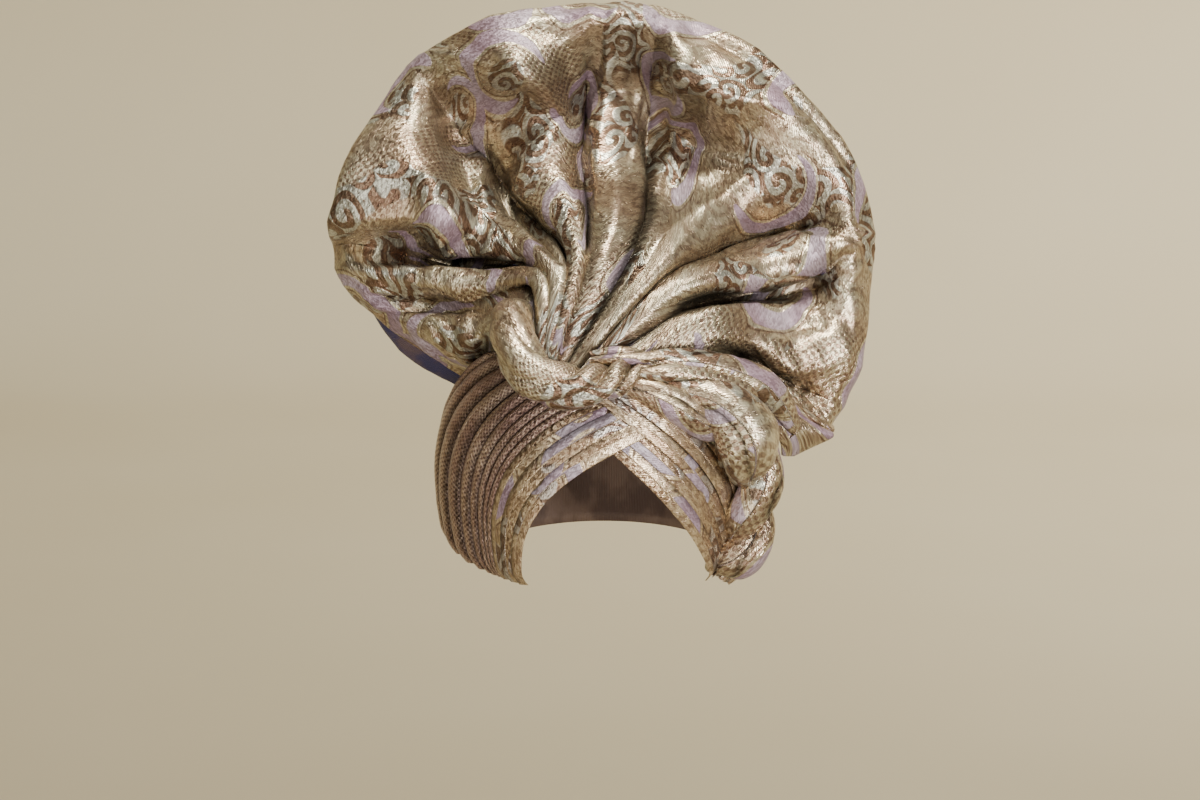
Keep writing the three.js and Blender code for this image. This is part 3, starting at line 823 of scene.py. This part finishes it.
def make_fan():
    folds = len(FAN_FOLDS["pleat"]) - 1
    across = np.linspace(0, folds, folds * FAN["steps_per_fold"] + 1)
    front = np.linspace(0, SEAM_STATION, FAN["front_steps"] + 1)
    back = np.linspace(SEAM_STATION, NAPE_STATION, FAN["back_steps"] + 1)
    stations = np.concatenate([front, back[1:]])
    points, pleat = fan_surface(across, stations)
    lift = fan_wrinkles(points, pleat, stations)
    points = points + grid_normals(points) * lift[..., None]

    # The pocket behind the lower left rim shows the cloth's wrong side
    row = (across[:-1, None] + across[1:, None]) / 2
    place = (stations[:-1] + stations[1:]) / 2
    pocket = (row < POCKET["folds"]) & (place > POCKET["from"]) & (place < BACK_STATION)
    cloth_map = fan_cloth_map(points, pleat, stations)
    # Painted shade, kept on the fan as its crease value
    shade = fan_shade(across, pleat, stations)
    return cloth_sheet("fan", points, cloth_map, CLOTH_WALL, [FAN_BROCADE, FAN_WRONG_SIDE], shade, pocket)


def make_crown():
    deg = np.linspace(0, 360, CROWN_WRAP["steps_round"] + 1)
    rise = np.sin(np.linspace(0, 1, CROWN_WRAP["steps_up"] + 1) * math.pi / 2) * CROWN_WRAP["pole"]
    from_front = abs((deg + 180) % 360 - 180)
    low, high = (CROWN_WRAP["face_half_deg"] + sign * CROWN_WRAP["fade_deg"] / 2 for sign in (-1, 1))
    back = np.clip((from_front - low) / (high - low), 0, 1)
    back = back * back * (3 - 2 * back)
    edge = CROWN_WRAP["face_z"] + back * (HEAD["hem"] - CROWN_WRAP["face_z"])
    z = edge[:, None] + (HEAD["crown"] - edge[:, None]) * rise
    points, _ = over_head(deg[:, None], z, CROWN_WRAP["off"])
    around = np.repeat(deg[:, None] * CROWN_WRAP["mm_per_deg"], len(rise), 1)
    cloth_map = np.stack([corners(around), corners(lengths(points, 1))], -1)
    return cloth_sheet("crown_cloth", points, cloth_map, CLOTH_WALL, [CORD_BROCADE, CROWN_WRONG_SIDE])


def make_tail():
    f = between(TAIL_FOLDS, np.linspace(0, len(TAIL_FOLDS["tip_x"]) - 1, TAIL["steps_across"] + 1))
    v = np.linspace(0, 1, TAIL["steps_along"] + 1)
    v = v * (1 + TAIL["tuck"]) - TAIL["tuck"]
    mix = [f[f"root_{c}"][:, None] * (1 - v) + f[f"tip_{c}"][:, None] * v for c in "xhd"]
    points = from_layout(*mix)
    cloth_map = np.stack([corners(lengths(points, 0)), corners(lengths(points, 1))], -1)
    return cloth_sheet("tail_cloth", points, cloth_map, CLOTH_WALL, [ROLL_BROCADE, FAN_WRONG_SIDE])


def swept_cloth_tree():
    """Folded cloth swept along each line of a mesh of edges: a flattened, fluted and creased tube."""
    tree = bpy.data.node_groups.new("swept_cloth", "GeometryNodeTree")
    tree.is_modifier = True
    tree.interface.new_socket("Lines", in_out="INPUT", socket_type="NodeSocketGeometry")
    sizes = {
        "Profile Points": 40,
        "Flatness": 1.0,
        "Flutes": 0.0,
        "Flute Depth": 0.0,
        "Flute Twist": 0.0,
        "Crease Depth": 0.0,
        "Crease Scale": 60.0,
        "Near Side Shade": 0.0,
        "Far Side Shade": 0.0,
        "Seed": 1.0,
    }
    for name, value in sizes.items():
        kind = "NodeSocketInt" if isinstance(value, int) else "NodeSocketFloat"
        tree.interface.new_socket(name, in_out="INPUT", socket_type=kind).default_value = value
    tree.interface.new_socket("Cloth", in_out="INPUT", socket_type="NodeSocketMaterial")
    tree.interface.new_socket("Folds", in_out="OUTPUT", socket_type="NodeSocketGeometry")
    entry = tree.nodes.new("NodeGroupInput")
    size = {output.name: Wire(tree, output) for output in entry.outputs if output.name}
    start = size["Lines"]

    # A flattened ring swept along each line
    facing = stored(start, "facing", "FLOAT_VECTOR")
    path = start.add("GeometryNodeMeshToCurve", None, {"Mesh": start})
    path = path.add("GeometryNodeSetCurveNormal", {"mode": "FREE"}, {"Curve": path, "Normal": facing})
    path, along = captured(path, start.add("GeometryNodeSplineParameter", output=1))
    path, girth = captured(path, stored(start, "girth"))
    path, offset = captured(path, stored(start, "offset"))
    path, twisted = captured(path, stored(start, "twisted"))
    circle = {"Resolution": size["Profile Points"], "Radius": 1.0}
    ring = start.add("GeometryNodeCurvePrimitiveCircle", None, circle)
    flat = start.add("GeometryNodeInputPosition").vector("MULTIPLY", combined(start, size["Flatness"], 1.0))
    ring = ring.add("GeometryNodeSetPosition", None, {"Geometry": ring, "Position": flat})
    ring, turn = captured(ring, start.add("GeometryNodeSplineParameter"))
    sweep = {"Curve": path, "Profile Curve": ring, "Scale": stored(start, "radius"), "Fill Caps": True}
    cloth = path.add("GeometryNodeCurveToMesh", None, sweep)

    # Flutes that wind round it, fine creases, and painted shade in the grooves and along its two sides
    noise_space = {"noise_dimensions": "4D"}
    fine = {"W": size["Seed"], "Scale": size["Crease Scale"], "Detail": 2.0}
    creases = start.add("ShaderNodeTexNoise", noise_space, fine)
    slow = {"W": size["Seed"], "Scale": size["Crease Scale"] * 0.3, "Detail": 0.0}
    drift = start.add("ShaderNodeTexNoise", noise_space, slow)
    winding = turn * size["Flutes"] + along * size["Flute Twist"] + drift * 2
    wave = (winding * math.pi).math("SINE").math("ABSOLUTE")
    flutes = (wave.math("POWER", 0.6) - 1) * twisted
    lift = flutes * size["Flute Depth"] + (creases - 0.5) * size["Crease Depth"]
    side = (turn * math.tau).math("SINE")
    sides = side.over(0.6, 1) * size["Near Side Shade"] + (-side).over(0.6, 1) * size["Far Side Shade"]
    out = start.add("GeometryNodeInputNormal").vector("SCALE", lift)
    cloth = cloth.add("GeometryNodeSetPosition", None, {"Geometry": cloth, "Offset": out})
    grooves = (flutes * -1).over(0.45, 1) * size["Flutes"].math("MINIMUM", 1)
    # The painted shade goes into the crease value, which darkens the brocade's dye
    on_points = {"data_type": "FLOAT", "domain": "POINT"}
    shade = {"Geometry": cloth, "Name": "crease", "Value": sides + grooves}
    cloth = cloth.add("GeometryNodeStoreNamedAttribute", on_points, shade)
    on_corners = {"data_type": "FLOAT2", "domain": "CORNER"}
    place = combined(start, along + offset, turn * girth + offset)
    cloth_map = {"Geometry": cloth, "Name": "cloth_map", "Value": place}
    cloth = cloth.add("GeometryNodeStoreNamedAttribute", on_corners, cloth_map)
    cloth = cloth.add("GeometryNodeSetShadeSmooth", None, {0: cloth})
    cloth = cloth.add("GeometryNodeRealizeInstances", None, {0: cloth})
    cloth = cloth.add("GeometryNodeSetMaterial", None, {"Geometry": cloth, "Material": size["Cloth"]})
    start.add("NodeGroupOutput", None, {"Folds": cloth})
    return tree


def captured(geometry, value):
    """A value kept on a geometry's points, and the geometry that carries it."""
    node = geometry.tree.nodes.new("GeometryNodeCaptureAttribute")
    node.capture_items.new("FLOAT", "kept")
    geometry.tree.links.new(geometry.socket, node.inputs["Geometry"])
    geometry.tree.links.new(value.socket, node.inputs["kept"])
    return Wire(geometry.tree, node.outputs["Geometry"]), Wire(geometry.tree, node.outputs["kept"])


def stored(wire, name, kind="FLOAT"):
    """A named value of the lines."""
    return wire.add("GeometryNodeInputNamedAttribute", {"data_type": kind}, {"Name": name})


def combined(wire, x, y):
    """A vector of two values."""
    return wire.add("ShaderNodeCombineXYZ", None, {"X": x, "Y": y})


SWEPT_CLOTH = swept_cloth_tree()
PATTERN_STEP = 37  # each line of a piece starts this much further on in the pattern


def swept_piece(name, lines, cloth, sizes, twist=(1, 1)):
    """A piece of cloth swept along lines of (points in millimetres, facing, radius in millimetres).

    twist is how strong the flutes are at the two ends.
    """
    points = np.concatenate([line[0] for line in lines])
    edges = []
    start = 0
    for line in lines:
        edges += [(k, k + 1) for k in range(start, start + len(line[0]) - 1)]
        start += len(line[0])
    mesh = bpy.data.meshes.new(name)
    mesh.from_pydata((points * MM).tolist(), edges, [])
    facing = mesh.attributes.new("facing", "FLOAT_VECTOR", "POINT")
    facing.data.foreach_set("vector", np.concatenate([line[1] for line in lines]).ravel())
    radii = [line[2] * MM for line in lines]
    round_share = math.sqrt((1 + sizes.get("Flatness", 1) ** 2) / 2)
    values_on_lines = {
        "radius": radii,
        "girth": [np.full(len(radius), math.tau * round_share * radius.mean()) for radius in radii],
        "offset": [np.full(len(radius), PATTERN_STEP * MM * k) for k, radius in enumerate(radii)],
        "twisted": [np.linspace(*twist, len(radius)) for radius in radii],
    }
    for label, values in values_on_lines.items():
        mesh.attributes.new(label, "FLOAT", "POINT").data.foreach_set("value", np.concatenate(values))
    piece = link(name, mesh)
    sweep = piece.modifiers.new("sweep", "NODES")
    sweep.node_group = SWEPT_CLOTH
    for item in SWEPT_CLOTH.interface.items_tree:
        if item.in_out == "INPUT" and item.name in sizes:
            sweep[item.identifier] = sizes[item.name]
        if item.name == "Cloth":
            sweep[item.identifier] = cloth
    return applied(piece)


BROW = {"steps": 60, "rise": 2, "tuck": 4, "tuck_steps": 4, "crease": 0.8, "crease_scale": 90.0}
ROLL = {"profile": 72, "crease": 1.2, "crease_scale": 70.0}


def brow_piece(name, guides, borders, cloth, shape):
    """Brow pleats between their borders, tucked in at the hem and tilted like shingles."""
    lines = []
    for points, normals, half in pleat_lines(guides, borders, BROW["steps"]):
        tangent = unit(np.gradient(points, axis=0))
        facing = normals + math.tan(math.radians(shape["tilt"])) * np.cross(tangent, normals)
        tuck = np.clip(1 - np.arange(len(points)) / BROW["tuck_steps"], 0, 1)[:, None] ** 2
        rise = BROW["rise"] - BROW["tuck"] * tuck
        lines.append((points + normals * rise, facing, half * shape["overlap"]))
    near, far = shape["shade"]
    sizes = {
        "Flatness": shape["flatness"],
        "Crease Depth": BROW["crease"] * MM,
        "Crease Scale": BROW["crease_scale"],
        "Near Side Shade": near,
        "Far Side Shade": far,
    }
    return swept_piece(name, lines, cloth, sizes)


def roll_piece(name, rolls, cloth, flutes, depth, turns, seed, twist=(1, 1)):
    """Twisted cloth along rolls of (points, radii), with flutes of a depth in millimetres."""
    sizes = {
        "Profile Points": ROLL["profile"],
        "Flutes": float(flutes),
        "Flute Depth": depth * MM,
        "Flute Twist": float(turns),
        "Crease Depth": ROLL["crease"] * MM,
        "Crease Scale": ROLL["crease_scale"],
        "Seed": float(seed),
    }
    lines = [(points, sides_along(points), radii) for points, radii in rolls]
    return swept_piece(name, lines, cloth, sizes, twist)


def braid_strand(index):
    """One strand's line and radii. Each strand swells where it comes round to the front."""
    points, radii = roll_line(BRAID_LINE, steps=140)
    tangent = unit(np.gradient(points, axis=0))
    viewer = from_layout(0, 0, 1)
    front = unit(viewer - tangent * (tangent @ viewer)[:, None])
    share = np.linspace(0, 1, len(points))
    turn = math.tau * (BRAID["turns"] * (share - BRAID["first_lobe"]) + index / BRAID["strands"])
    swing = front * np.cos(turn)[:, None] + np.cross(tangent, front) * np.sin(turn)[:, None]
    return points + swing * (radii * BRAID["spread"])[:, None], radii * (1 + BRAID["swell"] * np.cos(turn))


# How brow pleats lie: how far they reach over their neighbours, how flat they are, how far they tilt in
# degrees, and the painted shade along their near and far sides
CORD = {"overlap": 1.06, "flatness": 0.6, "tilt": 0, "shade": (0.95, 0.95)}
LEFT_BAND = {"overlap": 1.2, "flatness": 0.16, "tilt": 7, "shade": (0.0, 0.6)}
RIGHT_BAND = {"overlap": 1.2, "flatness": 0.16, "tilt": -7, "shade": (0.5, 0.0)}

fan = make_fan()
crown = make_crown()
tail = make_tail()
cords = brow_piece("left_cords", LEFT_GUIDES, LEFT_CORDS, CORD_BROCADE, CORD)
bands = brow_piece("left_bands", LEFT_GUIDES, LEFT_BANDS, BAND_BROCADE, LEFT_BAND)
right = brow_piece("right_bands", RIGHT_GUIDES, RIGHT_BANDS, BAND_BROCADE, RIGHT_BAND)
KNOT = {"flutes": 3, "depth": 6, "turns": 40, "seed": 3, "twist": (0, 1.2)}
knot = roll_piece("knot", [roll_line(KNOT_ROLL, steps=200)], KNOT_BROCADE, **KNOT)
UPPER = {"flutes": 2, "depth": 3, "turns": 14, "seed": 4}
upper_rolls = [roll_line(UPPER_ROLL, steps=140), roll_line(UNDER_ROLL, steps=100)]
upper = roll_piece("upper_twist", upper_rolls, ROLL_BROCADE, **UPPER)
STRAND = {"flutes": 2, "depth": 2.6, "turns": 12}
strand_front = roll_piece("strand_front", [braid_strand(0)], ROLL_BROCADE, seed=5, **STRAND)
strand_back = roll_piece("strand_back", [braid_strand(1)], ROLL_BROCADE, seed=6, **STRAND)

PIECES = {
    fan: ("brocade", ("fan_front", "fan_back")),
    crown: ("brocade_shade", ("crown_wrap",)),
    tail: ("brocade", ("tail_end",)),
    cords: ("brocade", ("left_brow_pleats",)),
    bands: ("brocade", ("left_brow_pleats",)),
    right: ("brocade", ("right_brow_pleats",)),
    knot: ("brocade", ("knot_roll",)),
    upper: ("brocade", ("upper_roll",)),
    strand_front: ("brocade", ("braid_strand_front",)),
    strand_back: ("brocade_shade", ("braid_strand_back",)),
}
for piece, (finish, nodes) in PIECES.items():
    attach(piece, "root")
    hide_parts(*nodes)


# Studio


STUDIO = {"floor_z": -0.32, "reach": 30, "cove_y": 2.0, "cove": 0.6, "cove_steps": 12, "wall": 6}


def make_backdrop():
    """A wide plain floor that sweeps up into a wall behind."""
    turn = np.linspace(0, math.pi / 2, STUDIO["cove_steps"] + 1)
    cove, reach = STUDIO["cove"], STUDIO["reach"]
    wall_y = STUDIO["cove_y"] + cove
    depth = np.concatenate([[-reach], STUDIO["cove_y"] + cove * np.sin(turn), [wall_y]])
    height = np.concatenate([[0], cove - cove * np.cos(turn), [STUDIO["wall"]]]) + STUDIO["floor_z"]
    points = [(x, y, z) for y, z in zip(depth, height) for x in (-reach, reach)]
    faces = [(2 * k, 2 * k + 1, 2 * k + 3, 2 * k + 2) for k in range(len(depth) - 1)]
    mesh = bpy.data.meshes.new("backdrop")
    mesh.from_pydata(points, [], faces)
    mesh.shade_smooth()
    material, tree = new_material("backdrop_paper")
    place = Wire(tree, tree.nodes.new("ShaderNodeTexCoord").outputs["Object"])
    grain = place.add("ShaderNodeTexNoise", None, {"Vector": place, "Scale": 3, "Detail": 2})
    colour = grain.blend(srgb(214, 201, 168), srgb(220, 208, 178))
    finish = grain.add("ShaderNodeBsdfPrincipled", None, {"Base Color": colour, "Roughness": 0.9})
    finish.add("ShaderNodeOutputMaterial", None, {"Surface": finish})
    mesh.materials.append(material)
    return link("backdrop", mesh)


def light(kind, name, place, target, power, colour, lit, **settings):
    """A lamp turned to its target. It lights the objects of one collection, and only they shade it."""
    lamp = bpy.data.lights.new(name, kind)
    for setting, value in settings.items():
        setattr(lamp, setting, value)
    lamp.energy = power
    lamp.color = colour
    holder = link(name, lamp)
    holder.location = place
    holder.rotation_euler = (Vector(target) - Vector(place)).to_track_quat("-Z", "Y").to_euler()
    holder.light_linking.receiver_collection = lit
    holder.light_linking.blocker_collection = lit


def disk_light(name, place, target, size, **rest):
    """Soft light from a disk."""
    light("AREA", name, place, target, shape="DISK", size=size, **rest)


def collected(name, objects):
    """A collection of objects for a light to fall on."""
    collection = bpy.data.collections.new(name)
    for item in objects:
        collection.objects.link(item)
    return collection


# The view: how far off the layout plane it is, how much of the plane it takes in, and the middle of that
VIEW = {"reach": 1600, "across": 696, "x": -2.3, "h": 46.4, "sensor": 36, "far_m": 20}


def make_camera():
    """A camera square to the layout plane."""
    camera = bpy.data.cameras.new("camera")
    camera.sensor_width = VIEW["sensor"]
    camera.lens = VIEW["sensor"] * VIEW["reach"] / VIEW["across"]
    camera.clip_end = VIEW["far_m"]
    holder = link("camera", camera)
    holder.location = from_layout(VIEW["x"], VIEW["h"], VIEW["reach"]) * MM
    holder.rotation_euler = (math.pi / 2 - LAYOUT_LEAN, 0, 0)
    bpy.context.scene.camera = holder


backdrop = make_backdrop()
backdrop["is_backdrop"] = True
CLOTH = collected("lit_cloth", PIECES)
PAPER = collected("lit_backdrop", [backdrop])
WARM = (1, 0.98, 0.95)
YELLOW = (1, 0.975, 0.88)
SPOT = {"shadow_soft_size": 0.2, "spot_size": math.radians(34), "spot_blend": 0.9}
light("SPOT", "key", (0.3, -0.9, 1.9), (0, 0, 0.1), power=310, colour=YELLOW, lit=CLOTH, **SPOT)
disk_light("side", (-0.9, -1.6, 0.75), (0, 0, 0.1), size=0.7, power=9, colour=WARM, lit=CLOTH)
disk_light("fill", (1.0, -1.6, 0.1), (0.04, 0, 0), size=0.6, power=42, colour=(1, 0.975, 0.97), lit=CLOTH)
disk_light("bounce", (-0.3, -1.1, -0.5), (0, 0, 0), size=0.9, power=7, colour=(1, 0.95, 0.92), lit=CLOTH)
disk_light("rim", (0.1, 0.5, 1.5), (0, 0, 0.15), size=0.7, power=10, colour=WARM, lit=CLOTH)
disk_light("wall", (1.6, 0.8, 1.8), (1.2, 2.4, 0.2), size=1.2, power=64, colour=(1, 0.97, 0.9), lit=PAPER)
light("SUN", "room", (0, 0, 3), (-0.3, 0.8, 2.55), power=1.85, colour=(1, 0.99, 0.92), lit=PAPER)
world = bpy.data.worlds.new("surround")
world.use_nodes = True
surround = world.node_tree.nodes["Background"].inputs
surround["Color"].default_value = (0.85, 0.8, 0.72, 1)
surround["Strength"].default_value = 0.07
bpy.context.scene.world = world
make_camera()

boxes = {
    name: [[float(value) for value in corner] for corner in box]
    for name, box in (("cad", cad_box), ("dressed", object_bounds()))
}
